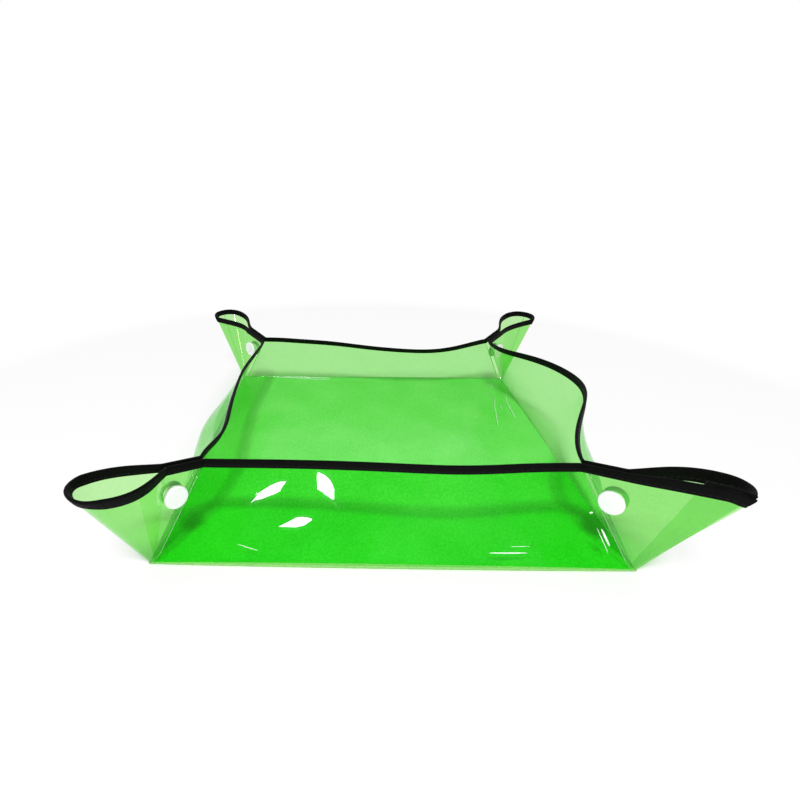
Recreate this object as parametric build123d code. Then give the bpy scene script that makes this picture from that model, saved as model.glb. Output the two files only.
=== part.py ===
"""Potting mat: one square of soft clear sheet with a taped edge, pinched at each corner into a tray.

The flat mat lies in XY with its middle plane at Z = 0 and its inner face up. Each side folds up about a
straight crease, and the front and right sides sag outward between their ends. At each end of a side the
sheet folds again along a pinch line into a flap, which carries half a snap and flares out, and then along a
loop line into a tip, which meets the next side's tip on the corner's diagonal. Every panel is made in the
flat mat and then folded about those lines into the closed tray.
"""

import os
from math import acos, asin, atan2, cos, degrees, hypot, log, pi, radians, sin, sqrt, tan

from build123d import *

# Sheet, in millimetres
sheet_size = 400.0
sheet_thickness = 0.5
corner_radius = 26.0
wall_height = 60.0

# Fold lines at a corner, in degrees turned from square to the crease towards the middle of the side
pinch_heading = 25.0
flare_heading = 4.0
loop_heading = -32.0

# How far the flap's outer half flares, and how far above flat the sides stop when the mat is laid open
flare_angle = 18.0
open_wall_angle = 4.0

# Sides that sag outward between their ends: by how much at most, and how far along from the first end
side_sags = {"front": (12.0, 0.66), "right": (36.0, 0.47)}

# How much a sag lowers the rim, 1 being what keeps the sheet's height, and the spans that a sag is made of
sag_draw = 0.8
sag_spans = 8

# Edge tape
tape_width = 4.3
tape_thickness = 0.8
tape_clearance = 0.05

# Gap beside a fold line, beyond what the folded thickness needs
fold_clearance = 0.3

# Snaps
snap_reach = 42.0
cap_diameter = 14.4
cap_thickness = 1.8
cap_round = 0.9
post_diameter = 2.6
post_clearance = 0.2
rivet_thickness = 0.5
socket_diameter = 10.6
socket_height = 3.0
socket_floor = 0.8
stud_flange_diameter = 10.0
stud_flange_thickness = 1.0
stud_nose_diameter = 5.7
stud_nose_wall = 0.6
stud_nose_height = 1.6
stud_clearance = 0.15
snap_seat_gap = 0.2

# Sizes that follow from these
base_half = sheet_size / 2 - wall_height
sheet_half = sheet_thickness / 2
tape_half = sheet_half + tape_clearance + tape_thickness
layer_offset = sheet_half + (socket_height + stud_flange_thickness + snap_seat_gap) / 2
bore_diameter = stud_nose_diameter + 2 * stud_clearance
nose_hollow = stud_nose_diameter - 2 * stud_nose_wall
rivet_diameter = nose_hollow - 2 * post_clearance
hole_diameter = post_diameter + 2 * post_clearance
reach = 2 * wall_height

# The sides, each a quarter turn on from the last, with the names of their two ends
side_ends = {
    "front": ("left", "right"),
    "right": ("front", "back"),
    "back": ("right", "left"),
    "left": ("back", "front"),
}
stud_sides = ("front", "back")


def toward(heading):
    """Direction in the flat mat, on the front side, at a heading from square to its crease."""
    return Vector(sin(radians(heading)), -cos(radians(heading)))


# Points and fold lines of the flat mat, on the front side at its left end
base_corner = Vector(-base_half, -base_half)
apex = base_corner + Vector(layer_offset * sqrt(2), 0)
loop_end = apex + toward(loop_heading) * (wall_height / cos(radians(loop_heading)))
tip_end = base_corner - Vector(1, 1) * (wall_height - corner_radius * (1 - sqrt(0.5)))
snap_centre = apex + toward((pinch_heading + flare_heading) / 2) * snap_reach
crease_line = Axis((0, -base_half, 0), (1, 0, 0))
pinch_line = Axis(apex, toward(pinch_heading))
flare_line = Axis(apex, toward(flare_heading))
loop_line = Axis(apex, toward(loop_heading))
diagonal_line = Axis(base_corner, (-1, -1, 0))
bend_out = toward(flare_heading - 90)


def fold_place(folds):
    """The place that folds about flat lines give a panel, the innermost fold first."""
    place = Location()
    for line, angle in folds:
        there = Location(line.position)
        place = there * Location((0, 0, 0), line.direction, angle) * there.inverse() * place
    return place


def folded_point(point, folds):
    return (fold_place(folds) * Location(point)).position


def fold_reaching(measure):
    """The smallest backward fold at which a measure of the fold, a sine wave in it, comes to zero."""
    at_zero, at_quarter, at_half = (measure(angle) for angle in (0, 90, 180))
    middle = (at_zero + at_half) / 2
    crest = degrees(atan2(at_quarter - middle, at_zero - middle))
    spread = degrees(acos(-middle / hypot(at_zero - middle, at_quarter - middle)))
    return max((turn + 360) % 360 - 360 for turn in (crest - spread, crest + spread))


def off_diagonal(vector):
    """How far a vector reaches towards the front side from the corner's diagonal plane."""
    return (vector.X - vector.Y) / sqrt(2)


# Folds of the closed tray
wall_angle = 90 + degrees(asin(tan(radians(pinch_heading))))
flap_angle = degrees(acos(sin(radians(wall_angle)) / sqrt(2)))
bend_folds = [(flare_line, flare_angle)]
wall_folds = [(crease_line, -wall_angle)]
flap_folds = [(pinch_line, flap_angle), *wall_folds]
flare_folds = [*bend_folds, *flap_folds]
tip_angle = fold_reaching(lambda a: off_diagonal(folded_point(tip_end, [(loop_line, a), *flare_folds])))
tip_folds = [(loop_line, tip_angle), *flare_folds]
tip_face = folded_point(Vector(0, 0, 1), tip_folds) - folded_point(Vector(0, 0, 0), tip_folds)
diagonal_angle = 2 * degrees(asin(abs(off_diagonal(tip_face))))

# Folds of the mat laid open, against each panel's own side
open_flap_angle = fold_reaching(lambda a: folded_point(loop_end, [*bend_folds, (pinch_line, a)]).Z)
open_folds = [*bend_folds, (pinch_line, open_flap_angle)]
open_tip_angle = fold_reaching(lambda a: folded_point(tip_end, [(loop_line, a), *open_folds]).Z)


def outline(grow):
    """The flat mat's outline, grown all round."""
    size = sheet_size + 2 * grow
    return RectangleRounded(size, size, corner_radius + grow)


def region(*points):
    return make_face(Polyline(*points, close=True))


def strip(line, half_width):
    """A long strip of the flat mat along a fold line."""
    turn = degrees(atan2(line.direction.Y, line.direction.X))
    return Location(line.position) * Rotation(0, 0, turn) * Rectangle(2 * sheet_size, 2 * half_width)


def fold_gap(half_thickness, angle):
    """Half the gap that panels need at a fold of that angle."""
    return half_thickness * tan(radians(abs(angle) / 2)) + fold_clearance


def trimmed(face, folds, half_thickness):
    """A region of the flat mat, cut back from its fold lines."""
    for line, angle in folds:
        face -= strip(line, fold_gap(half_thickness, angle))
    return face


def sheet_panel(face, folds):
    return extrude(trimmed(face, folds, sheet_half) & outline(0), sheet_half, both=True)


def tape_panel(face, folds):
    """The tape that wraps the sheet's edge along a region of the flat mat."""
    band = outline(tape_clearance + tape_thickness) - outline(-tape_width)
    slot = extrude(outline(tape_clearance), sheet_half + tape_clearance, both=True)
    return extrude(trimmed(face, folds, tape_half) & band, tape_half, both=True) - slot


# Regions of the flat mat, run out past its edge, and past the flare line where the flap bends
pinch_far = apex + toward(pinch_heading) * reach
flare_far = apex + toward(flare_heading) * reach
loop_far = apex + toward(loop_heading) * reach
tip_far = base_corner - Vector(1, 1) * reach
bend_margin = bend_out * tape_half
stem_region = region(apex, pinch_far, flare_far + bend_margin, apex + bend_margin)
flare_region = region(apex - bend_margin, flare_far - bend_margin, loop_far, apex)
tip_region = region(apex, loop_far, tip_far, base_corner)
crease_fold = (crease_line, wall_angle)
pinch_fold = (pinch_line, flap_angle)
loop_fold = (loop_line, tip_angle)
diagonal_fold = (diagonal_line, diagonal_angle)
bend_face = folded_point(apex + bend_out, [(flare_line, flare_angle / 2)]) - apex
bend_plane = Plane(apex, z_dir=bend_face)


def bent(panel):
    """A flap panel or its tape, mitred where it bends at the flare line."""
    stem = split(panel(stem_region, [crease_fold, pinch_fold]), bend_plane, keep=Keep.BOTTOM)
    flared = fold_place(bend_folds) * panel(flare_region, [crease_fold, loop_fold])
    return stem + split(flared, bend_plane, keep=Keep.TOP)


# The sides, each lofted through sections that lean out as far as the side sags there
rim_start = apex.X + wall_height * tan(radians(pinch_heading))
crease_gap = fold_gap(sheet_half, wall_angle)


def sag_at(side, place):
    """A side's lean out of its plane, in radians, at a place from 0 to 1 along it."""
    if side not in side_sags:
        return 0.0
    angle, peak = side_sags[side]
    return radians(angle) * sin(pi * place ** (log(0.5) / log(peak))) ** 2


def side_point(side, place, rise):
    """A point of a side, beside the flat mat, at a height up the sheet from its crease."""
    foot = apex.X * (1 - 2 * place)
    rim = rim_start * (1 - 2 * place)
    sag = sag_at(side, place)
    drawn = rise * cos(sag) ** sag_draw
    return Vector(foot + (rim - foot) * rise / wall_height, -base_half - drawn, -drawn * tan(sag))


def side_section(side, place, profile):
    """A section across a side, from its profile: how far past the rim and how far inward from mid-sheet."""
    before, after = (side_point(side, near, wall_height / 2) for near in (place - 0.001, place + 0.001))
    foot, rim = (side_point(side, place, rise) for rise in (0, wall_height))
    along = (after - before).normalized()
    up = (rim - foot).normalized()
    inward = up.cross(along).normalized()
    slant = up.cross(along).length
    lowest = crease_gap - (rim - foot).length * slant
    points = [rim + up * (max(past, lowest) / slant) + inward * depth for past, depth in profile]
    return make_face(Polyline(*points, close=True))


def side_loft(side, profile, half_thickness):
    """A side or its tape, cut back from the pinch lines at its two ends."""
    spans = sag_spans if side in side_sags else 1
    end = fold_gap(half_thickness, flap_angle) / (-2 * rim_start * cos(radians(pinch_heading)))
    places = [end, *(span / spans for span in range(1, spans)), 1 - end]
    return loft([side_section(side, place, profile) for place in places], ruled=True)


def side_sheet(side, grow):
    """A side's sheet, grown through its thickness and past its rim."""
    half = sheet_half + grow
    return side_loft(side, [(-reach, -half), (grow, -half), (grow, half), (-reach, half)], sheet_half)


def side_tape(side):
    """The tape that wraps a side's rim."""
    past = tape_clearance + tape_thickness
    band = [(-tape_width, -tape_half), (past, -tape_half), (past, tape_half), (-tape_width, tape_half)]
    return side_loft(side, band, tape_half) - side_sheet(side, tape_clearance)


def disc(diameter, bottom, height):
    return Pos(0, 0, bottom) * Cylinder(diameter / 2, height, align=(Align.CENTER, Align.CENTER, Align.MIN))


def snap_cap(floor):
    """A cap on the outer face, its post spread into a rivet over the floor of the part inside."""
    cap = disc(cap_diameter, -sheet_half - cap_thickness, cap_thickness)
    cap = fillet(cap.edges().group_by(Axis.Z)[0], cap_round)
    post = disc(post_diameter, -sheet_half, sheet_thickness + floor)
    return cap + post + disc(rivet_diameter, sheet_half + floor, rivet_thickness)


def snap_socket():
    body = disc(socket_diameter, sheet_half, socket_height)
    body -= disc(bore_diameter, sheet_half + socket_floor, socket_height)
    return body - disc(hole_diameter, sheet_half, socket_height)


def snap_stud():
    flange = disc(stud_flange_diameter, sheet_half, stud_flange_thickness)
    top = sheet_half + stud_flange_thickness
    nose = disc(stud_nose_diameter, top, stud_nose_height) - disc(nose_hollow, top, stud_nose_height)
    return flange + nose - disc(hole_diameter, sheet_half, stud_flange_thickness)


# One end of a side of the closed tray, at the front's left end
wall_place = fold_place(wall_folds)
flap_place = fold_place(flap_folds)
tip_place = fold_place(tip_folds)
post_hole = Location(snap_centre) * disc(hole_diameter, -sheet_half, sheet_thickness)
snap_place = flap_place * Location(snap_centre)
end_pieces = {
    "flap": flap_place * (bent(sheet_panel) - post_hole),
    "flap_tape": flap_place * bent(tape_panel),
    "tip": tip_place * sheet_panel(tip_region, [crease_fold, loop_fold, diagonal_fold]),
    "tip_tape": tip_place * tape_panel(tip_region, [crease_fold, loop_fold, diagonal_fold]),
}
stud_pieces = {
    "cap": snap_place * snap_cap(stud_flange_thickness),
    "stud": snap_place * snap_stud(),
}
socket_pieces = {
    "cap": snap_place * snap_cap(socket_floor),
    "socket": snap_place * snap_socket(),
}

# The whole tray, standing on its base
base_size = 2 * (base_half - fold_gap(sheet_half, wall_angle))
nodes = {"base": Pos(0, 0, sheet_half) * extrude(Rectangle(base_size, base_size), sheet_half, both=True)}
for quarter, (side, ends) in enumerate(side_ends.items()):
    place = Pos(0, 0, sheet_half) * Rotation(0, 0, 90 * quarter)
    nodes[f"{side}_wall"] = place * wall_place * side_sheet(side, 0)
    nodes[f"{side}_wall_tape"] = place * wall_place * side_tape(side)
    snap_pieces = stud_pieces if side in stud_sides else socket_pieces
    for flip, end in enumerate(ends):
        for name, piece in {**end_pieces, **snap_pieces}.items():
            nodes[f"{side}_{end}_{name}"] = place * (mirror(piece, about=Plane.YZ) if flip else piece)

os.makedirs("parts", exist_ok=True)
for name, node in nodes.items():
    export_step(node, f"parts/{name}.step")
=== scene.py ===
"""Looks of the potting mat: clear sheet panels, stitched edge tape and snaps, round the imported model."""

from math import acos, asin, atan2, cos, degrees, hypot, pi, radians, sin, sqrt, tan

import bpy
import numpy as np
from mathutils import Matrix, Vector


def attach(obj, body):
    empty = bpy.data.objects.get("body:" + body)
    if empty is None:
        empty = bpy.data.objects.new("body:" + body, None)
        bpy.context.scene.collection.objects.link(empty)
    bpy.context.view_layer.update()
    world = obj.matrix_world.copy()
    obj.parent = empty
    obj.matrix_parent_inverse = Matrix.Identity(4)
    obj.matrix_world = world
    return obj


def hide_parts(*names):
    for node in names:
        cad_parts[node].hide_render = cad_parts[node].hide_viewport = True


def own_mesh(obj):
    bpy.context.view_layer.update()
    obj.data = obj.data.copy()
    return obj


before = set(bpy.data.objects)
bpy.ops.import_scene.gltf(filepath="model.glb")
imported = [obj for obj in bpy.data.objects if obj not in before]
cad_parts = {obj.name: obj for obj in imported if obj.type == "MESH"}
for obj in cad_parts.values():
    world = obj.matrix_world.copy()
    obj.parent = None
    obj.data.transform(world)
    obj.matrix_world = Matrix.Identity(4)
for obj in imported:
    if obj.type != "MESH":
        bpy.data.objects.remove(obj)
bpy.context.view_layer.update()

# A millimetre in metres
MM = 0.001

# Sizes in millimetres and fold headings in degrees, the same as the solids have
SHEET_SIZE = 400.0
HALF_THICKNESS = 0.25
CORNER_RADIUS = 26.0
WALL_HEIGHT = 60.0
BASE_HALF = SHEET_SIZE / 2 - WALL_HEIGHT
LAYER_OFFSET = 2.35
PINCH, FLARE, LOOP, DIAGONAL = 25.0, 4.0, -32.0, -45.0
FLARE_ANGLE = 18.0
TAPE_WIDTH = 4.3
TAPE_THICKNESS = 2.1

# The sides in turn, each with its first and last ends as seen from outside
SIDE_ENDS = {
    "front": ("left", "right"),
    "right": ("front", "back"),
    "back": ("right", "left"),
    "left": ("back", "front"),
}

# How far each side leans out of its flat plane, as (degrees, place along the side from its first end)
LEANS = {
    "front": [(12.0, 0.66)],
    "right": [(36.0, 0.47)],
    "back": [(-13.0, 0.32)],
    "left": [(-4.0, 0.1), (4.0, 0.27), (-4.5, 0.8)],
}

# Dents in the sides, and swells as negative ones: along the side, up it, half length, half width, tilt, depth
DENTS = {
    "right": [
        (-85.0, 28.0, 35.0, 24.0, 0.0, -6.0),
        (-20.0, 30.0, 18.0, 8.0, 25.0, 0.7),
        (38.0, 22.0, 15.0, 7.0, -30.0, 0.6),
    ],
    "back": [(30.0, 30.0, 16.0, 8.0, 20.0, 0.6), (-50.0, 24.0, 14.0, 7.0, -20.0, 0.6)],
    "left": [
        (30.0, 27.0, 75.0, 27.0, 0.0, -10.0),
        (10.0, 32.0, 17.0, 8.0, -25.0, 0.6),
        (-60.0, 24.0, 14.0, 7.0, 20.0, 0.6),
    ],
}

# Dents fade out towards a side's ends, its foot and the tape, and the ripples towards its ends and foot
DENT_FADE_ENDS = 25.0
DENT_FADE_FOOT = 14.0
DENT_FADE_TAPE = 10.0
DENT_TOP = 56.0
RIPPLE_FADE_ENDS = 30.0
RIPPLE_FADE_FOOT = 20.0

# Leaf-shaped facets that catch the light: their two ends along and up the side, half width, lean of the width
# towards the second end, and the slopes along and up the side
FACETS = {
    "front": [
        ((-84.0, 34.4), (-59.2, 49.3), 3.3, 0.4, 0.005, -0.11),
        ((-29.5, 32.5), (-43.4, 55.2), 4.4, 0.95, 0.001, -0.156),
        ((-66.8, 20.9), (-44.4, 27.4), 3.4, 0.6, 0.029, -0.167),
    ],
}
FACET_SOFT = 1.4

# Shape of each ear's half: its swell and that swell's lean, and its share of soft flare
EAR_HALVES = {
    "front_left": (2.2, 0.6, 0.0),
    "left_front": (-1.1, -0.5, 0.0),
    "front_right": (0.0, 0.0, 0.0),
    "right_front": (4.0, 0.6, 0.8),
    "back_left": (-0.8, 0.0, 0.4),
    "left_back": (-8.0, -0.2, 0.4),
    "back_right": (-0.8, 0.0, 0.4),
    "right_back": (-6.4, -0.6, 0.6),
}

# Halves that lie flat: the flare that is left in degrees, and how much of the tip's edge the flank covers
FLATTENED = {"front_right": (1.0, 0.45)}

# The tip tucked in behind a flat flank: how far off the corner's diagonal plane its start lies, how far that
# start is drawn in as a share, and how much of its edge laps behind the flank
TUCK = 4.5
TUCK_PULL = 0.065
TUCK_LAP = 0.06

# The end of a flat flank: how far its rim is drawn in, from which share of its edge, and its bend inwards
END_ROUND = 1.2
END_START = 0.86
END_BEND = 0.025

# How far tips run past the corner's diagonal, as a share of their edge, to narrow the gap that opens between
# them when the mat is laid flat
TIP_OVER = 0.025

# Where the tape is loose it puffs up: how much wider it is, and how far it stands past the sheet
TAPE_PUFFS = {
    "front_left": (0.3, 0.3),
    "left_front": (0.15, 0.2),
    "front_right": (0.25, 1.2),
    "right_front": (0.45, 0.0),
}

# How far each ear's end is drawn in towards the base corner, as a share
EAR_DRAWS = {"front_left": 0.07, "front_right": -0.03, "back_left": 0.02, "back_right": 0.02}


def toward(heading):
    """A direction on the flat mat, turned by some degrees from straight out at the front."""
    return np.array([sin(radians(heading)), -cos(radians(heading))])


BASE_CORNER = np.array([-BASE_HALF, -BASE_HALF])
APEX = BASE_CORNER + np.array([LAYER_OFFSET * sqrt(2), 0.0])
TIP_END = BASE_CORNER - (WALL_HEIGHT - CORNER_RADIUS * (1 - sqrt(0.5)))
ARC_CENTRE = np.full(2, CORNER_RADIUS - SHEET_SIZE / 2)


def turn(point, direction, angle):
    """Rotation about a line of the flat mat."""
    there = Matrix.Translation((*point, 0.0))
    return there @ Matrix.Rotation(radians(angle), 4, Vector((*direction, 0.0))) @ there.inverted()


def off_diagonal(vector):
    """How far points or directions lie off the corner's diagonal plane."""
    return (vector[..., 0] - vector[..., 1]) / sqrt(2)


# Folds of the closed tray, for the front side's left end
WALL_ANGLE = 90 + degrees(asin(tan(radians(PINCH))))
FLAP_ANGLE = degrees(acos(sin(radians(WALL_ANGLE)) / sqrt(2)))
wall_fold = turn((0, -BASE_HALF), (1, 0), -WALL_ANGLE)
stem_fold = wall_fold @ turn(APEX, toward(PINCH), FLAP_ANGLE)
side_fold = stem_fold @ turn(APEX, toward(FLARE), FLARE_ANGLE)


def tip_off(angle):
    """How far the tip's end lies off the diagonal plane when it is folded by an angle."""
    return off_diagonal(np.array(side_fold @ turn(APEX, toward(LOOP), angle) @ Vector((*TIP_END, 0.0))))


def tip_fold_angle():
    """The backward fold that brings the tip's end onto the corner's diagonal plane."""
    middle = (tip_off(0) + tip_off(180)) / 2
    even, odd = tip_off(0) - middle, tip_off(90) - middle
    crest = degrees(atan2(odd, even))
    spread = degrees(acos(-middle / hypot(even, odd)))
    return max((angle + 360) % 360 - 360 for angle in (crest - spread, crest + spread))


TIP_ANGLE = tip_fold_angle()
tip_fold = side_fold @ turn(APEX, toward(LOOP), TIP_ANGLE)
FOLDS = {"wall": wall_fold, "stem": stem_fold, "side": side_fold, "tip": tip_fold}
NORMALS = {name: np.array(fold.to_3x3() @ Vector((0, 0, 1))) for name, fold in FOLDS.items()}
TIP_SLANT = abs(off_diagonal(NORMALS["tip"]))
HALF_DIAGONAL = degrees(asin(TIP_SLANT))


def folded(panel, flat):
    """Flat points folded into the closed tray, in the panel's flat facet."""
    fold = np.array(FOLDS[panel])
    return flat @ fold[:3, :2].T + fold[:3, 3]


def across(heading, flat, start=APEX):
    """How far flat points lie from a fold line, on the corner's side of it."""
    way = np.array([cos(radians(heading)), sin(radians(heading))])
    return -(flat - start) @ way


def ends_bow(t, first, last):
    """A curve from 0 to 0 that leaves with one slope and arrives with another."""
    return first * t * (1 - t) ** 2 - last * t * t * (1 - t)


def smooth(t):
    """A step from 0 to 1 that starts and ends gently."""
    t = np.clip(t, 0, 1)
    return t * t * (3 - 2 * t)


def lean_of(side, place):
    """The lean of a side out of its plane, in radians, at a place from 0 to 1 along it."""
    place = np.clip(place, 0, 1)
    total = np.zeros_like(place)
    for angle, peak in LEANS[side]:
        total += radians(angle) * np.sin(pi * place ** (np.log(0.5) / np.log(peak))) ** 2
    return total


def dents_of(side, along, up):
    """How deep a side's dents are at places along and up it."""
    depth = np.zeros_like(along)
    for u, v, length, width, tilt, deep in DENTS.get(side, []):
        c, s = cos(radians(tilt)), sin(radians(tilt))
        x = ((along - u) * c + (up - v) * s) / length
        y = (-(along - u) * s + (up - v) * c) / width
        depth += deep * np.exp(-1.5 * (x * x + y * y))
    return depth


def facets_of(side, along, up):
    """How far a side's leaf-shaped facets stand out, tilted about their middles, and where they lie."""
    out, shine = np.zeros_like(along), np.zeros_like(along)
    for start, end, wide, skew, slope_along, slope_up in FACETS.get(side, []):
        middle = (np.array(start) + np.array(end)) / 2
        half = (np.array(end) - np.array(start)) / 2
        x, y = along - middle[0], up - middle[1]
        a = (x * half[0] + y * half[1]) / (half @ half)
        b = np.abs(x * half[1] - y * half[0]) / np.linalg.norm(half)
        room = np.where(np.abs(a) < 1, wide * (1 - a * a) * (1 + skew * a), -1.0)
        inside = smooth((room - b) / FACET_SOFT + 0.5)
        out += inside * (slope_along * x + slope_up * y)
        shine = np.maximum(shine, inside)
    return out, shine


def wall_surface(side, flat):
    """The side's surface: it leans out or in between its ends, with shallow dents, facets and ripples."""
    up = -BASE_HALF - flat[:, 1]
    first = -across(PINCH, flat)
    mirrored = flat * np.array([-1.0, 1.0])
    last = -across(PINCH, mirrored)
    place = first / (first + last)
    lean = lean_of(side, place)
    # the sheet stretches a little, so its rim comes down less than a stiff one's would
    reach = up * np.cos(lean) ** 0.8
    out = reach * np.tan(lean)
    fade = smooth(first / DENT_FADE_ENDS) * smooth(last / DENT_FADE_ENDS)
    fade = fade * smooth(up / DENT_FADE_FOOT) * smooth((DENT_TOP - up) / DENT_FADE_TAPE)
    out -= dents_of(side, flat[:, 0], up) * fade
    out += facets_of(side, flat[:, 0], up)[0]
    # the sheet between its ends is never quite flat
    ripple = 0.35 * np.sin(flat[:, 0] / 23 + up / 31) + 0.2 * np.sin(flat[:, 0] / 11 - up / 17 + 1.3)
    fade = smooth(first / RIPPLE_FADE_ENDS) * smooth(last / RIPPLE_FADE_ENDS)
    out += ripple * fade * smooth(up / RIPPLE_FADE_FOOT)
    bent = np.stack([flat[:, 0], -BASE_HALF - reach], axis=1)
    return folded("wall", bent) - out[:, None] * NORMALS["wall"]


def corner_of(half):
    """The corner that half of an ear belongs to, named by its front or back side first."""
    side, end = half.split("_")
    return half if side in ("front", "back") else f"{end}_{side}"


def nearer_apex(points, share):
    """Points drawn in towards the apex by a share of their distance from it."""
    apex = np.array([*APEX, 0.0])
    return apex + (points - apex) * (1 - share)[:, None]


def drawn_in(half, flat, points):
    """Ear points drawn in towards the apex, by more towards the ear's end."""
    turned_out = np.degrees(np.arctan2(APEX[0] - flat[:, 0], APEX[1] - flat[:, 1]))
    share = EAR_DRAWS[corner_of(half)] * smooth((turned_out + FLARE) / (FLARE - DIAGONAL))
    return nearer_apex(points, share)


def outness(flat):
    """How far out along the ear flat points lie, from 0 at the apex to about 1 at the rim."""
    return np.linalg.norm(flat - APEX, axis=1) * cos(radians(LOOP)) / WALL_HEIGHT


def side_surface(half, flat):
    """The ear's flank: it leaves the stem and rolls into the loop's end, or lies flat, swollen on the way."""
    swell, lean, soft = EAR_HALVES[half]
    near, far = across(FLARE, flat), -across(LOOP, flat)
    width = near + far
    t = np.clip(near / np.maximum(width, 1e-6), 0, 1)
    if half in FLATTENED:
        out = -near * tan(radians(FLARE_ANGLE - FLATTENED[half][0]))
        out -= END_BEND * np.maximum(-far, 0) ** 2
    else:
        out = width * ends_bow(t, -soft * tan(radians(FLARE_ANGLE)), -tan(radians(-TIP_ANGLE / 2)))
    out += outness(flat) * swell * 4 * t * (1 - t) * (1 + lean * (1 - 2 * t))
    return drawn_in(half, flat, folded("side", flat) - out[:, None] * NORMALS["side"])


def tip_surface(half, flat):
    """The ear's rounded end, from the loop line to the corner's diagonal."""
    near, far = across(LOOP, flat), -across(DIAGONAL, flat, BASE_CORNER)
    width = near + far
    t = near / np.maximum(width, 1e-6)
    if half in FLATTENED:
        # tucked in behind the flank
        off = off_diagonal(folded("tip", flat))
        tucked = np.sign(off) * TUCK * outness(flat) * np.clip(1 - t, 0, 1)
        out = (off - tucked) / off_diagonal(NORMALS["tip"])
    else:
        out = width * ends_bow(t, tan(radians(-TIP_ANGLE / 2)), -tan(radians(HALF_DIAGONAL)))
    points = drawn_in(half, flat, folded("tip", flat) - out[:, None] * NORMALS["tip"])
    if half in FLATTENED:
        # its hidden start is drawn in, below the flank's rim
        hidden = np.clip((1 - t) / (1 - FLATTENED[half][1]), 0, 1)
        points = nearer_apex(points, TUCK_PULL * hidden)
    # its foot reaches from the apex to the base's corner
    diagonal = TIP_END - BASE_CORNER
    along = np.clip((flat - BASE_CORNER) @ diagonal / (diagonal @ diagonal), 0, 1)
    gap = np.array([*BASE_CORNER, 0.0]) - folded("tip", BASE_CORNER[None, :])[0]
    return points + (np.clip(t, 0, 1) * (1 - along))[:, None] * gap


def line_x(heading, inset):
    """Where a fold line from the apex meets the edge, set in from the rim."""
    return APEX[0] + (WALL_HEIGHT - inset) * tan(radians(heading))


def straight_edge(start, end):
    """A panel's straight edge between two fold lines, as points at shares of its length."""

    def edge(share, inset):
        x = start(inset) + (end(inset) - start(inset)) * share
        return np.stack([x, np.full_like(x, -SHEET_SIZE / 2 + inset)], axis=1)

    return edge


def tip_edge(share, inset):
    """The edge from the loop line round the corner's arc to the diagonal."""
    radius = CORNER_RADIUS - inset
    straight = line_x(LOOP, inset) - ARC_CENTRE[0]
    run = share * (straight + radius * pi / 4)
    swing = np.maximum(run - straight, 0) / radius
    x = np.where(run < straight, line_x(LOOP, inset) - run, ARC_CENTRE[0] - radius * np.sin(swing))
    y = np.where(run < straight, -SHEET_SIZE / 2 + inset, ARC_CENTRE[1] - radius * np.cos(swing))
    return np.stack([x, y], axis=1)


EDGES = {
    "wall": straight_edge(lambda d: line_x(PINCH, d), lambda d: -line_x(PINCH, d)),
    "stem": straight_edge(lambda d: line_x(PINCH, d), lambda d: line_x(FLARE, d)),
    "side": straight_edge(lambda d: line_x(FLARE, d), lambda d: line_x(LOOP, d)),
    "tip": tip_edge,
}
FEET = {
    "wall": (APEX, APEX * np.array([-1.0, 1.0])),
    "stem": (APEX, APEX),
    "side": (APEX, APEX),
    "tip": (APEX, BASE_CORNER),
}


def edge_of(panel, owner, share, inset):
    """A panel's edge; where an ear's half lies flat, the flank runs on round part of the tip's edge."""
    covered = FLATTENED[owner][1] if owner in FLATTENED else 0.0
    if panel == "tip":
        start = max(covered - TUCK_LAP, 0)
        return tip_edge(start + (1 + TIP_OVER - start) * share, inset)
    if panel != "side" or not covered:
        return EDGES[panel](share, inset)
    split = 1 / (1 + covered / 2)
    inset = inset + END_ROUND * smooth((share - END_START) / (1 - END_START))
    before = EDGES["side"](np.minimum(share / split, 1), inset)
    after = tip_edge(covered * np.maximum(share - split, 0) / (1 - split), inset)
    return np.where((share > split)[:, None], after, before)


def foot_of(panel, owner, share):
    """Where the lines up a panel start, at shares of its foot."""
    start = FLATTENED[owner][1] - TUCK_LAP if owner in FLATTENED and panel == "tip" else 0.0
    end = 1 + TIP_OVER if panel == "tip" else 1.0
    along = start + (end - start) * share
    return FEET[panel][0] + (FEET[panel][1] - FEET[panel][0]) * along[:, None]


# Heading of each panel's middle line, and its columns and rows of points, which are closer on the front side
MIDDLES = {"wall": 0.0, "stem": (PINCH + FLARE) / 2, "side": (FLARE + LOOP) / 2, "tip": (LOOP + DIAGONAL) / 2}
STEPS = {"wall": (150, 40), "stem": (10, 30), "side": (30, 30), "tip": (20, 30)}
FINE_STEPS = {"front": (320, 90)}

# The sheet's rim under the tape, set in from its real edge, the share of a flap left off at the apex, and the
# points along an edge that its length and area are measured with
RIM_INSET = 2.0
APEX_SHARE = 0.004
EDGE_POINTS = 60


def placed(points, quarter, flip):
    """Points of the front side's left end, moved to another side or end, in metres."""
    points = points * np.array([-1.0 if flip else 1.0, 1.0, 1.0])
    spin = np.array(Matrix.Rotation(radians(90 * quarter), 3, "Z"))
    return (points @ spin.T + np.array([0, 0, HALF_THICKNESS])) * MM


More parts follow.
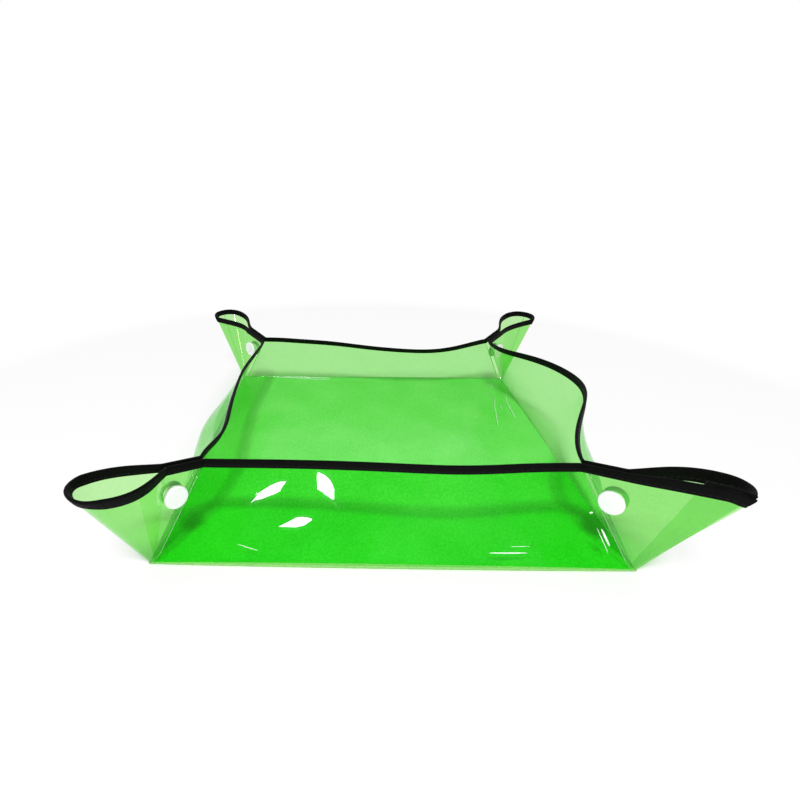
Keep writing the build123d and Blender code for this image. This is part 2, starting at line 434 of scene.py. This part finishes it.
def grid_object(name, points, rows, columns, maps, flip, material):
    """A mesh from a grid of points, with a map of its own in millimetres."""
    index = np.arange(rows * columns).reshape(rows, columns)
    quads = np.stack([index[:-1, :-1], index[:-1, 1:], index[1:, 1:], index[1:, :-1]], axis=-1).reshape(-1, 4)
    if flip:
        quads = quads[:, ::-1]
    mesh = bpy.data.meshes.new(name)
    mesh.from_pydata([tuple(p) for p in points], [], [tuple(int(i) for i in q) for q in quads])
    layer = mesh.uv_layers.new(name="UVMap")
    loops = np.empty(len(mesh.loops), dtype=np.int32)
    mesh.loops.foreach_get("vertex_index", loops)
    layer.data.foreach_set("uv", (maps[loops] * MM).astype(np.float32).ravel())
    mesh.polygons.foreach_set("use_smooth", [True] * len(mesh.polygons))
    mesh.materials.append(material)
    made = bpy.data.objects.new(name, mesh)
    bpy.context.scene.collection.objects.link(made)
    return made


def on_surface(panel, owner, flat):
    """Flat points brought onto the closed tray's surface, for a side or for half of an ear."""
    if panel == "stem":
        return folded("stem", flat)
    return {"wall": wall_surface, "side": side_surface, "tip": tip_surface}[panel](owner, flat)


def sheet_panel(name, panel, owner, quarter, flip, material):
    """One panel of sheet, from its foot to halfway under the tape."""
    columns, rows = FINE_STEPS.get(owner, STEPS[panel])
    share = np.linspace(0, 1, columns)
    rim = edge_of(panel, owner, share, RIM_INSET)
    foot = foot_of(panel, owner, share)
    rise = np.linspace(APEX_SHARE if panel in ("stem", "side") else 0, 1, rows)
    flat = (foot[None] + (rim - foot)[None] * rise[:, None, None]).reshape(-1, 2)
    points = placed(on_surface(panel, owner, flat), quarter, flip)
    made = grid_object(name, points, rows, columns, flat, flip, material)
    if owner in FACETS:
        shine = made.data.attributes.new("shine", "FLOAT", "POINT")
        facets = facets_of(owner, flat[:, 0], -BASE_HALF - flat[:, 1])[1]
        shine.data.foreach_set("value", facets.astype(np.float32))
    return made


# The tape's cross section: how far its points lie inside the sheet's edge, its thickness there as a share,
# and where the row of thread lies
SEAM_INSET = 2.95
TAPE_INSETS = np.array(
    [TAPE_WIDTH, 4.2, 3.95, 3.4, 3.2, SEAM_INSET, 2.7, 2.5, 1.9, 1.2, 0.5, -0.1, -0.5, -0.78, -0.88]
)
TAPE_SHAPE = np.array(
    [0.4, 0.72, 0.94, 1.0, 0.93, 0.88, 0.93, 1.0, 1.02, 1.02, 1.0, 0.94, 0.74, 0.42, 0.14]
)
THREAD = np.array([0, 0, 0, 0, 0.6, 1.0, 0.6, 0, 0, 0, 0, 0, 0, 0, 0])
# The share that the thickening modifier takes as full
TAPE_FULLEST = 1.05

# The length of a stitch, its columns of points, and the thread's lift between and at the needle holes
STITCH = 3.2
STITCH_COLUMNS = 4
THREAD_LIFT = 0.14
HOLE_LIFT = -0.1


def tape_panel(name, panel, owner, quarter, flip, material):
    """The tape along a panel's edge: a ribbon that a modifier thickens, puffed beside its stitches."""
    rough = edge_of(panel, owner, np.linspace(0, 1, EDGE_POINTS), 0.0)
    length = np.linalg.norm(np.diff(rough, axis=0), axis=1).sum()
    stitches = max(2, round(length / STITCH))
    columns = stitches * STITCH_COLUMNS + 1
    share = np.linspace(0, 1, columns)
    wider, past = TAPE_PUFFS[owner] if owner in TAPE_PUFFS else (0.0, 0.0)
    puff = 0 * share
    if panel == "side":
        puff = smooth(2 * share) * (1 - 0.6 * smooth(4 * share - 3) * (owner in FLATTENED))
    if panel == "tip" and owner not in FLATTENED:
        puff = 1 - smooth(2 * share)
    insets = [inset * (1 + wider * puff) - past * puff for inset in TAPE_INSETS]
    flat = np.concatenate([edge_of(panel, owner, share, inset) for inset in insets])
    points = placed(on_surface(panel, owner, flat), quarter, flip)
    along = np.tile(share * stitches * STITCH, len(TAPE_INSETS))
    maps = np.stack([along, np.repeat(TAPE_INSETS, columns)], axis=1)
    made = grid_object(name, points, len(TAPE_INSETS), columns, maps, not flip, material)
    lifted = np.where(np.arange(columns) % STITCH_COLUMNS == 0, HOLE_LIFT, THREAD_LIFT)
    shape = TAPE_SHAPE[:, None] + THREAD[:, None] * lifted[None]
    group = made.vertex_groups.new(name="shape")
    for vertex, weight in enumerate(shape.ravel()):
        group.add([vertex], float(np.clip(weight / TAPE_FULLEST, 0, 1)), "REPLACE")
    thick = made.modifiers.new("thickness", "SOLIDIFY")
    thick.thickness = TAPE_THICKNESS * TAPE_FULLEST * MM
    thick.offset = 0
    thick.vertex_group = "shape"
    return made


def bead(name, points, radius, material):
    """A thin round line along points in metres, tapered shut at its ends."""
    around = 8
    points = np.array(points)
    ways = np.gradient(points, axis=0)
    ways /= np.linalg.norm(ways, axis=1)[:, None]
    no_way = np.array([0.31, 0.52, 0.79])  # a direction that no line takes
    first = np.cross(ways, no_way)
    first /= np.linalg.norm(first, axis=1)[:, None]
    second = np.cross(ways, first)
    sizes = radius * MM * np.sqrt(np.sin(np.linspace(0.04 * pi, 0.96 * pi, len(points))))
    turns = np.linspace(0, 2 * pi, around, endpoint=False)
    rings = points[:, None] + sizes[:, None, None] * (
        np.cos(turns)[None, :, None] * first[:, None] + np.sin(turns)[None, :, None] * second[:, None]
    )
    faces = []
    for ring in range(len(points) - 1):
        for spot in range(around):
            a, b = ring * around + spot, ring * around + (spot + 1) % around
            faces.append((a, b, b + around, a + around))
    faces.append(tuple(range(around))[::-1])
    faces.append(tuple(range((len(points) - 1) * around, len(points) * around)))
    mesh = bpy.data.meshes.new(name)
    mesh.from_pydata([tuple(p) for p in rings.reshape(-1, 3)], [], faces)
    mesh.polygons.foreach_set("use_smooth", [True] * len(mesh.polygons))
    mesh.materials.append(material)
    made = bpy.data.objects.new(name, mesh)
    bpy.context.scene.collection.objects.link(made)
    return made


WHITE = (1, 1, 1, 1)


class Nodes:
    """Short helpers for building the nodes of a material or a world."""

    def __init__(self, owner):
        self.owner = owner
        owner.use_nodes = True
        self.tree = owner.node_tree
        self.tree.nodes.clear()

    def add(self, kind, inputs=None, **settings):
        node = self.tree.nodes.new(kind)
        for key, value in settings.items():
            setattr(node, key, value)
        for key, value in (inputs or {}).items():
            if isinstance(value, bpy.types.NodeSocket):
                self.tree.links.new(value, node.inputs[key])
            else:
                node.inputs[key].default_value = value
        return node

    def place(self):
        return self.add("ShaderNodeTexCoord").outputs["Object"]

    def math(self, operation, first, second=0.0):
        return self.add("ShaderNodeMath", {0: first, 1: second}, operation=operation).outputs[0]

    def blend(self, factor, first, second):
        """A colour between two others; a mix node has its colours in sockets 6 and 7."""
        return self.add("ShaderNodeMix", {0: factor, 6: first, 7: second}, data_type="RGBA").outputs[2]

    def noise(self, vector, scale, detail=3.0):
        inputs = {"Vector": vector, "Scale": scale, "Detail": detail}
        return self.add("ShaderNodeTexNoise", inputs).outputs["Fac"]

    def spread(self, value, low, high, start=0.0, stop=1.0, **settings):
        """A value from start to stop, spread over low to high."""
        inputs = {"Value": value, "From Min": start, "From Max": stop, "To Min": low, "To Max": high}
        return self.add("ShaderNodeMapRange", inputs, **settings).outputs["Result"]

    def layered(self, share, below, above):
        inputs = {0: share, 1: below.outputs[0], 2: above.outputs[0]}
        return self.add("ShaderNodeMixShader", inputs).outputs[0]

    def finish(self, surface, output="ShaderNodeOutputMaterial"):
        self.add(output, {"Surface": surface})
        return self.owner


def material_nodes(name):
    return Nodes(bpy.data.materials.new(name))


def sheet_material(name, light_tint, deep_tint, smoothest=0.03, roughest=0.09, gloss_least=0.05, shine=0.0):
    """Clear tinted sheet: what is behind it shows through, under a gloss that grows at a slant."""
    n = material_nodes(name)
    place = n.place()
    fine = n.noise(place, 420.0, 2.0)
    grain = n.spread(n.noise(place, 700.0, 2.0), 0.0, 1.0, 0.3, 0.7)
    cloud = n.spread(n.noise(place, 26.0), 0.0, 1.0, 0.3, 0.7)
    mottle = n.math("ADD", n.math("MULTIPLY", cloud, 0.4), n.math("MULTIPLY", grain, 0.6))
    tint = n.blend(mottle, deep_tint, light_tint)
    bump = n.add("ShaderNodeBump", {"Height": n.noise(place, 70.0), "Strength": 0.06, "Distance": 0.002})
    rough = n.spread(fine, smoothest, roughest)
    clear = n.add("ShaderNodeBsdfTransparent", {"Color": tint})
    gloss = n.add("ShaderNodeBsdfGlossy", {"Color": WHITE, "Roughness": rough, "Normal": bump.outputs[0]})
    facing = n.add("ShaderNodeLayerWeight", {"Blend": 0.5, "Normal": bump.outputs[0]}).outputs["Facing"]
    share = n.spread(n.math("POWER", facing, 4.5), gloss_least, 0.85)
    if shine:
        # facets of the sheet, marked in the mesh, are glossier
        pressed = n.add("ShaderNodeAttribute", attribute_name="shine").outputs["Fac"]
        share = n.math("ADD", share, n.math("MULTIPLY", pressed, shine))
    return n.finish(n.layered(share, clear, gloss))


def crease_material():
    """The pressed line of a fold, where the sheet is bent and catches the light."""
    n = material_nodes("sheet_crease")
    clear = n.add("ShaderNodeBsdfTransparent", {"Color": (0.62, 0.95, 0.52, 1)})
    rough = n.spread(n.noise(n.place(), 150.0), 0.1, 0.3)
    gloss = n.add("ShaderNodeBsdfGlossy", {"Color": (0.93, 1, 0.9, 1), "Roughness": rough})
    return n.finish(n.layered(0.4, clear, gloss))


def painted_highlight_material(name, tint, pale, fineness, least_painted, most_painted):
    """Painted highlight on bent sheet: partly clear in one tint, and partly a matt pale colour painted in
    another.
    """
    n = material_nodes(name)
    clear = n.add("ShaderNodeBsdfTransparent", {"Color": tint})
    painted_pale = n.add("ShaderNodeBsdfDiffuse", {"Color": pale})
    share = n.spread(n.noise(n.place(), fineness), least_painted, most_painted)
    return n.finish(n.layered(share, clear, painted_pale))


# Spacing of the tape's weave, and half the width of the row of thread
WEAVE = 0.55
THREAD_HALF = 0.3


def tape_material():
    """Black woven binding: a fine weave, a slight sheen, and thread of its own along the stitches."""
    n = material_nodes("black_edge_tape")
    mapped = n.add("ShaderNodeUVMap", uv_map="UVMap").outputs[0]
    parts = n.add("ShaderNodeSeparateXYZ", {0: mapped})
    along, over = parts.outputs[0], parts.outputs[1]
    warp = n.math("SINE", n.math("MULTIPLY", along, 2 * pi / (WEAVE * MM)))
    weft = n.math("SINE", n.math("MULTIPLY", over, 2 * pi / (WEAVE * MM)))
    weave = n.math("MULTIPLY", warp, weft)
    wear = n.noise(mapped, 240.0)
    lift = n.math("ADD", weave, n.math("MULTIPLY", wear, 0.8))
    bump = n.add("ShaderNodeBump", {"Height": lift, "Strength": 0.35, "Distance": 0.00025})
    from_seam = n.math("ABSOLUTE", n.math("SUBTRACT", over, SEAM_INSET * MM))
    on_seam = n.math("LESS_THAN", from_seam, THREAD_HALF * MM)
    part = n.math("FRACT", n.math("DIVIDE", along, STITCH * MM))
    on_stitch = n.math("MULTIPLY", n.math("GREATER_THAN", part, 0.14), n.math("LESS_THAN", part, 0.86))
    thread = n.math("MULTIPLY", on_seam, on_stitch)
    cloth = n.blend(wear, (0.001, 0.001, 0.001, 1), (0.003, 0.003, 0.003, 1))
    colour = n.blend(thread, cloth, (0.008, 0.008, 0.008, 1))
    rough = n.spread(wear, 0.5, 0.7)
    skin = n.add("ShaderNodeBsdfPrincipled", {
        "Base Color": colour,
        "Roughness": rough,
        "Normal": bump.outputs[0],
        "Specular IOR Level": 0.08,
        "Sheen Weight": 0.02,
        "Sheen Roughness": 0.4,
    })
    return n.finish(skin.outputs[0])


def snap_material():
    """Moulded white snap plastic, satin, with a faint moulding texture."""
    n = material_nodes("white_snap_plastic")
    place = n.place()
    mottle = n.noise(place, 180.0)
    bump = n.add("ShaderNodeBump", {"Height": n.noise(place, 1600.0), "Strength": 0.12, "Distance": 0.0002})
    skin = n.add("ShaderNodeBsdfPrincipled", {
        "Base Color": n.blend(mottle, (0.9, 0.91, 0.9, 1), (0.95, 0.95, 0.95, 1)),
        "Roughness": n.spread(mottle, 0.28, 0.42),
        "Normal": bump.outputs[0],
        "Subsurface Weight": 0.1,
        "Subsurface Scale": 0.002,
    })
    return n.finish(skin.outputs[0])


sheet_look = sheet_material("clear_green_sheet", (0.43, 0.85, 0.335, 1), (0.365, 0.815, 0.27, 1))
# the front side's copy of the sheet, in a deeper green: painted shade
front_shaded_look = sheet_material("clear_green_front_painted_shade", (0.36, 0.935, 0.31, 1), (0.20, 0.835, 0.155, 1),
                            gloss_least=0.008, shine=0.05)
# the ears' copy of the sheet, in a paler tint: painted light
ear_lit_look = sheet_material("clear_green_ear_painted_light", (0.55, 0.90, 0.43, 1), (0.48, 0.87, 0.36, 1))
# the tucked tip's copy of the sheet, paler still: painted light
tucked_lit_look = sheet_material("clear_green_tuck_painted_light", (0.65, 0.925, 0.54, 1), (0.60, 0.905, 0.48, 1))
# the base's copy of the sheet, tinted to the light and shade that fall on the base: painted light and shade
base_light_shade_look = sheet_material("clear_green_base_painted_light_and_shade", (0.46, 0.945, 0.39, 1), (0.28, 0.86, 0.21, 1), 0.2, 0.3)
crease_look = crease_material()
# thin pale lines of painted highlight, on the base's fine creases and as glints on the front side
pale_highlight_look = painted_highlight_material("pale_painted_highlight", (0.7, 0.96, 0.62, 1), (0.95, 1, 0.93, 1), 300.0, 0.6, 0.95)
# the front fold's lighter line: painted highlight on a rounded bead
fold_highlight_look = painted_highlight_material("sheet_fold_painted_highlight", (0.87, 0.96, 0.82, 1), (0.36, 0.74, 0.22, 1), 250.0, 0.3, 0.45)
tape_look = tape_material()
snap_look = snap_material()

for node_name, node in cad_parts.items():
    if node_name.endswith(("_cap", "_stud", "_socket")):
        node.data.materials.clear()
        node.data.materials.append(snap_look)
        for polygon in node.data.polygons:
            polygon.material_index = 0


# The base's rows of points, how far it lifts off the table, and over which strip it comes down to its creases
BASE_STEPS = 113
BASE_LIFT = 0.9
BASE_STRIP = 22.0


def base_sheet():
    """The base: one flat square of sheet that lifts off the table by a hair here and there."""
    steps = np.linspace(-BASE_HALF, BASE_HALF, BASE_STEPS)
    x, y = (axis.ravel() for axis in np.meshgrid(steps, steps))
    inside = smooth((BASE_HALF - np.abs(x)) / BASE_STRIP) * smooth((BASE_HALF - np.abs(y)) / BASE_STRIP)
    wave = 0.5 + 0.3 * np.sin(x / 37 + y / 61) + 0.2 * np.sin(y / 29 - x / 83 + 0.7)
    points = placed(np.stack([x, y, BASE_LIFT * wave * inside], axis=1), 0, False)
    flat = np.stack([x, y], axis=1)
    return grid_object("base_sheet", points, BASE_STEPS, BASE_STEPS, flat, False, base_light_shade_look)


def area_of(panel, owner):
    """A panel's flat area in square millimetres."""
    share = np.linspace(0, 1, EDGE_POINTS)
    loop = np.concatenate([edge_of(panel, owner, share, 0.0), foot_of(panel, owner, share)[[-1, 0]]])
    ahead = np.roll(loop, -1, axis=0)
    return abs((loop[:, 0] * ahead[:, 1] - loop[:, 1] * ahead[:, 0]).sum()) / 2


def flat_size(panel, owner):
    """Width and length of the rectangle that a panel is cut from, in metres."""
    share = np.linspace(0, 1, EDGE_POINTS)
    corners = np.concatenate([edge_of(panel, owner, share, 0.0), foot_of(panel, owner, share)[[0, -1]]])
    length_way = toward(MIDDLES[panel])
    width_way = np.array([-length_way[1], length_way[0]])
    return float(np.ptp(corners @ width_way)) * MM, float(np.ptp(corners @ length_way)) * MM


def declare(panel, owner):
    """A panel's flat area and the size of the rectangle it is cut from, worked out and then not used."""
    area = area_of(panel, owner) * MM * MM
    size = flat_size(panel, owner)


def join_model(sheet, tape, body, node_name):
    """A panel's sheet and tape ride a body, in place of the solids there."""
    for piece, solid, slot in ((sheet, node_name, "clear_sheet"), (tape, f"{node_name}_tape", "edge_tape")):
        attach(piece, body)
        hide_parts(solid)


def lie_flat(piece):
    """A piece gets a copy of its mesh for itself alone."""
    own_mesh(piece)


base = base_sheet()
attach(base, "tray_base")
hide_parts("base")

for quarter, (side, ends) in enumerate(SIDE_ENDS.items()):
    # the front side takes the copy of the sheet with painted shade
    wall_look = front_shaded_look if side == "front" else sheet_look
    wall = sheet_panel(f"{side}_wall_sheet", "wall", side, quarter, False, wall_look)
    wall_tape = tape_panel(f"{side}_wall_binding", "wall", side, quarter, False, tape_look)
    declare("wall", side)
    join_model(wall, wall_tape, f"{side}_side", f"{side}_wall")
    for piece in (wall, wall_tape):
        lie_flat(piece)
    for flip, end in enumerate(ends):
        corner = f"{side}_{end}"
        for panel in ("stem", "side", "tip"):
            ear_part = "tip" if panel == "tip" else "flap"
            # the ears and their tucked tips take the paler copies of the sheet, painted light
            look = tucked_lit_look if panel == "tip" and corner in FLATTENED else ear_lit_look
            sheet = sheet_panel(f"{corner}_{panel}_sheet", panel, corner, quarter, flip, look)
            tape = tape_panel(f"{corner}_{panel}_binding", panel, corner, quarter, flip, tape_look)
            declare(panel, corner)
            join_model(sheet, tape, f"{corner}_ear_{ear_part}", f"{corner}_{ear_part}")
            if panel == "stem":
                continue
            for piece in (sheet, tape):
                lie_flat(piece)


# Fine creases in the base near its right and back edges, in millimetres: thin raised lines painted pale as
# highlights
BASE_CREASES = [
    [(121.3, 93.3), (114.7, 69.2), (110.8, 48.4), (107.3, 30.3)],
    [(132.6, 95.2), (129.0, 78.3), (128.0, 60.2), (127.8, 46.2)],
    [(124.3, 123.5), (123.0, 111.4)],
    [(121.3, 73.7), (120.1, 65.1)],
    [(-118.0, 138.5), (-84.3, 134.9), (-45.9, 129.9)],
    [(-99.0, 138.5), (-46.1, 135.0)],
]

# Painted glints of the front side, drawn as thin pale lines: start and end along and up it, and half
# thickness
PAINTED_GLINTS = [
    ((-88.6, 11.3), (-76.9, 8.0), 0.2),
    ((56.0, 9.2), (77.8, 9.3), 0.45),
    ((68.0, 13.0), (79.0, 13.2), 0.15),
    ((120.8, 23.1), (125.3, 13.5), 0.75),
    ((118.2, 23.7), (124.5, 9.5), 0.25),
    ((113.9, 32.3), (116.0, 32.6), 0.5),
]

# Half thicknesses of the base's creases, the pinched folds and the fine creases, and of the front fold, which
# is rounder and stands out a little
FOOT_CREASE = 0.6
PINCH_CREASE = 0.5
FINE_CREASE = 0.3
FRONT_FOLD = 1.4
FRONT_FOLD_SHIFT = np.array([0.0, -1.0, 0.95])


def crease_line(name, body, points, radius, look=crease_look):
    """A thin line that rides a body: a bent fold of the sheet, or a pale line of painted highlight."""
    line = bead(name, points, radius, look)
    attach(line, body)
    return line


for quarter, (side, ends) in enumerate(SIDE_ENDS.items()):
    along = np.linspace(-BASE_HALF, BASE_HALF, 15)
    foot_line = np.stack([along, np.full_like(along, -BASE_HALF), np.zeros_like(along)], axis=1)
    radius, look = FOOT_CREASE, crease_look
    if side == "front":
        # the front fold is a rounder bead, its lighter line painted highlight
        foot_line += FRONT_FOLD_SHIFT
        radius, look = FRONT_FOLD, fold_highlight_look
    crease_line(f"{side}_base_crease", "tray_base", placed(foot_line, quarter, False), radius, look)
    for flip, end in enumerate(ends):
        up = np.linspace(0.02, 0.93, 9)[:, None] * (WALL_HEIGHT / cos(radians(PINCH)))
        pinch = placed(folded("wall", APEX + up * toward(PINCH)), quarter, flip)
        crease_line(f"{side}_{end}_pinch_crease", f"{side}_side", pinch, PINCH_CREASE)

for index, corners in enumerate(BASE_CREASES):
    share = np.linspace(0, 1, 13)
    knots = np.linspace(0, 1, len(corners))
    x, y = (np.interp(share, knots, axis) for axis in np.array(corners).T)
    lifted = placed(np.stack([x, y, 0.7 + 0.2 * np.sin(share * pi)], axis=1), 0, False)
    crease_line(f"base_fine_crease_{index + 1}", "tray_base", lifted, FINE_CREASE, pale_highlight_look)

# the front side's painted glints, as pale lines that ride it
for index, (start, end, radius) in enumerate(PAINTED_GLINTS):
    share = np.linspace(0, 1, 9)[:, None]
    spots = np.array(start) + (np.array(end) - np.array(start)) * share
    flat = np.stack([spots[:, 0], -BASE_HALF - spots[:, 1]], axis=1)
    on_wall = placed(wall_surface("front", flat), 0, False)
    line = crease_line(f"front_scuff_{index + 1}", "front_side", on_wall, radius, pale_highlight_look)
    lie_flat(line)

# Camera, fitted to the tray's corners, rim and snaps, with its place in metres
CAMERA_PLACE = (-0.024655, -0.350869, 0.207473)
YAW, PITCH, ROLL = radians(-1.068), radians(26.293), radians(0.084)
ahead = Vector((sin(YAW) * cos(PITCH), cos(YAW) * cos(PITCH), -sin(PITCH)))
level = Vector((cos(YAW), -sin(YAW), 0))
above = level.cross(ahead)
right = cos(ROLL) * level + sin(ROLL) * above
upward = -sin(ROLL) * level + cos(ROLL) * above
camera_data = bpy.data.cameras.new("camera")
camera_data.sensor_width = 36
camera_data.lens = 21.847
camera_data.shift_x = 0.0733
camera_data.shift_y = 0.0075
camera_data.clip_start = 0.01
camera = bpy.data.objects.new("camera", camera_data)
camera.matrix_world = Matrix((
    (right.x, upward.x, -ahead.x, CAMERA_PLACE[0]),
    (right.y, upward.y, -ahead.y, CAMERA_PLACE[1]),
    (right.z, upward.z, -ahead.z, CAMERA_PLACE[2]),
    (0, 0, 0, 1),
))
bpy.context.scene.collection.objects.link(camera)
bpy.context.scene.camera = camera


# The floor in metres: half its size, how far it lies below the tray, and where it turns from matt with
# shadows to plain white, partly beside the tray and wholly further away
FLOOR_HALF = 9.0
FLOOR_DROP = 0.0002
WHITE_BESIDE = (0.14, 0.17)
WHITE_AWAY = (0.26, 0.5)
BESIDE_SHARE = 0.82


def floor_material():
    """Pale matt floor that keeps the tray's shadow near it and is seen plain white further away."""
    n = material_nodes("pale_floor")
    place = n.place()
    pale = n.blend(n.noise(place, 60.0), (0.93, 0.93, 0.93, 1), (0.95, 0.95, 0.95, 1))
    plain = n.add("ShaderNodeBsdfDiffuse", {"Color": pale})
    white = n.add("ShaderNodeEmission", {"Color": WHITE, "Strength": 1.0})
    rays = n.add("ShaderNodeLightPath")
    seen = n.math("MAXIMUM", rays.outputs["Is Camera Ray"], rays.outputs["Is Glossy Ray"])
    seen = n.math("MAXIMUM", seen, rays.outputs["Is Transmission Ray"])
    away = n.add("ShaderNodeVectorMath", {0: place}, operation="LENGTH").outputs["Value"]
    far = n.spread(away, 0.0, 1.0, *WHITE_AWAY, interpolation_type="SMOOTHSTEP")
    parts = n.add("ShaderNodeSeparateXYZ", {0: place})
    reach = n.math("MAXIMUM", n.math("ABSOLUTE", parts.outputs[0]), n.math("ABSOLUTE", parts.outputs[1]))
    beside = n.spread(reach, 0.0, BESIDE_SHARE, *WHITE_BESIDE, interpolation_type="SMOOTHSTEP")
    share = n.math("MULTIPLY", seen, n.math("MAXIMUM", far, beside))
    return n.finish(n.layered(share, plain, white))


floor_mesh = bpy.data.meshes.new("floor")
floor_corners = [(x * FLOOR_HALF, y * FLOOR_HALF, 0) for x, y in ((-1, -1), (1, -1), (1, 1), (-1, 1))]
floor_mesh.from_pydata(floor_corners, [], [(0, 1, 2, 3)])
floor_mesh.materials.append(floor_material())
floor = bpy.data.objects.new("floor", floor_mesh)
floor.location.z = -FLOOR_DROP
bpy.context.scene.collection.objects.link(floor)


def studio_world():
    """Soft light from all round, stronger from behind the tray, and seen plain white."""
    n = Nodes(bpy.data.worlds.new("studio"))
    heading = n.add("ShaderNodeTexCoord").outputs["Generated"]
    behind = n.add("ShaderNodeSeparateXYZ", {0: heading}).outputs[1]
    seen = n.add("ShaderNodeLightPath").outputs["Is Camera Ray"]
    strength = n.math("MAXIMUM", n.spread(behind, 0.24, 0.72, 0.1, 0.6), seen)
    light = n.add("ShaderNodeBackground", {"Color": WHITE, "Strength": strength})
    return n.finish(light.outputs[0], "ShaderNodeOutputWorld")


bpy.context.scene.world = studio_world()


def panel_light(name, place, target, size, radiance):
    """A soft box of light of a given brightness, facing a point."""
    data = bpy.data.lights.new(name, "AREA")
    data.shape = "RECTANGLE"
    data.size, data.size_y = size
    data.energy = radiance * pi * size[0] * size[1]
    lamp = bpy.data.objects.new(name, data)
    lamp.location = place
    lamp.rotation_mode = "QUATERNION"
    lamp.rotation_quaternion = (Vector(target) - Vector(place)).to_track_quat("-Z", "Y")
    bpy.context.scene.collection.objects.link(lamp)
    return lamp


# The first lamp shows in the gloss and lights nothing matt, and the other two don't show in the gloss
glint = panel_light("glint_panel", (-0.362, -1.196, 0.71), (0, 0, 0), (0.22, 0.22), 40.0)
glint.visible_diffuse = False
key = panel_light("key_panel", (-0.1, -0.84, 1.27), (0, 0, 0), (0.24, 0.24), 98.0)
key.visible_glossy = False
fill = panel_light("fill_panel", (0.1, -1.4, 0.45), (0, 0, 0.03), (1.4, 0.7), 1.35)
fill.visible_glossy = False

bpy.context.scene.view_settings.view_transform = "Standard"
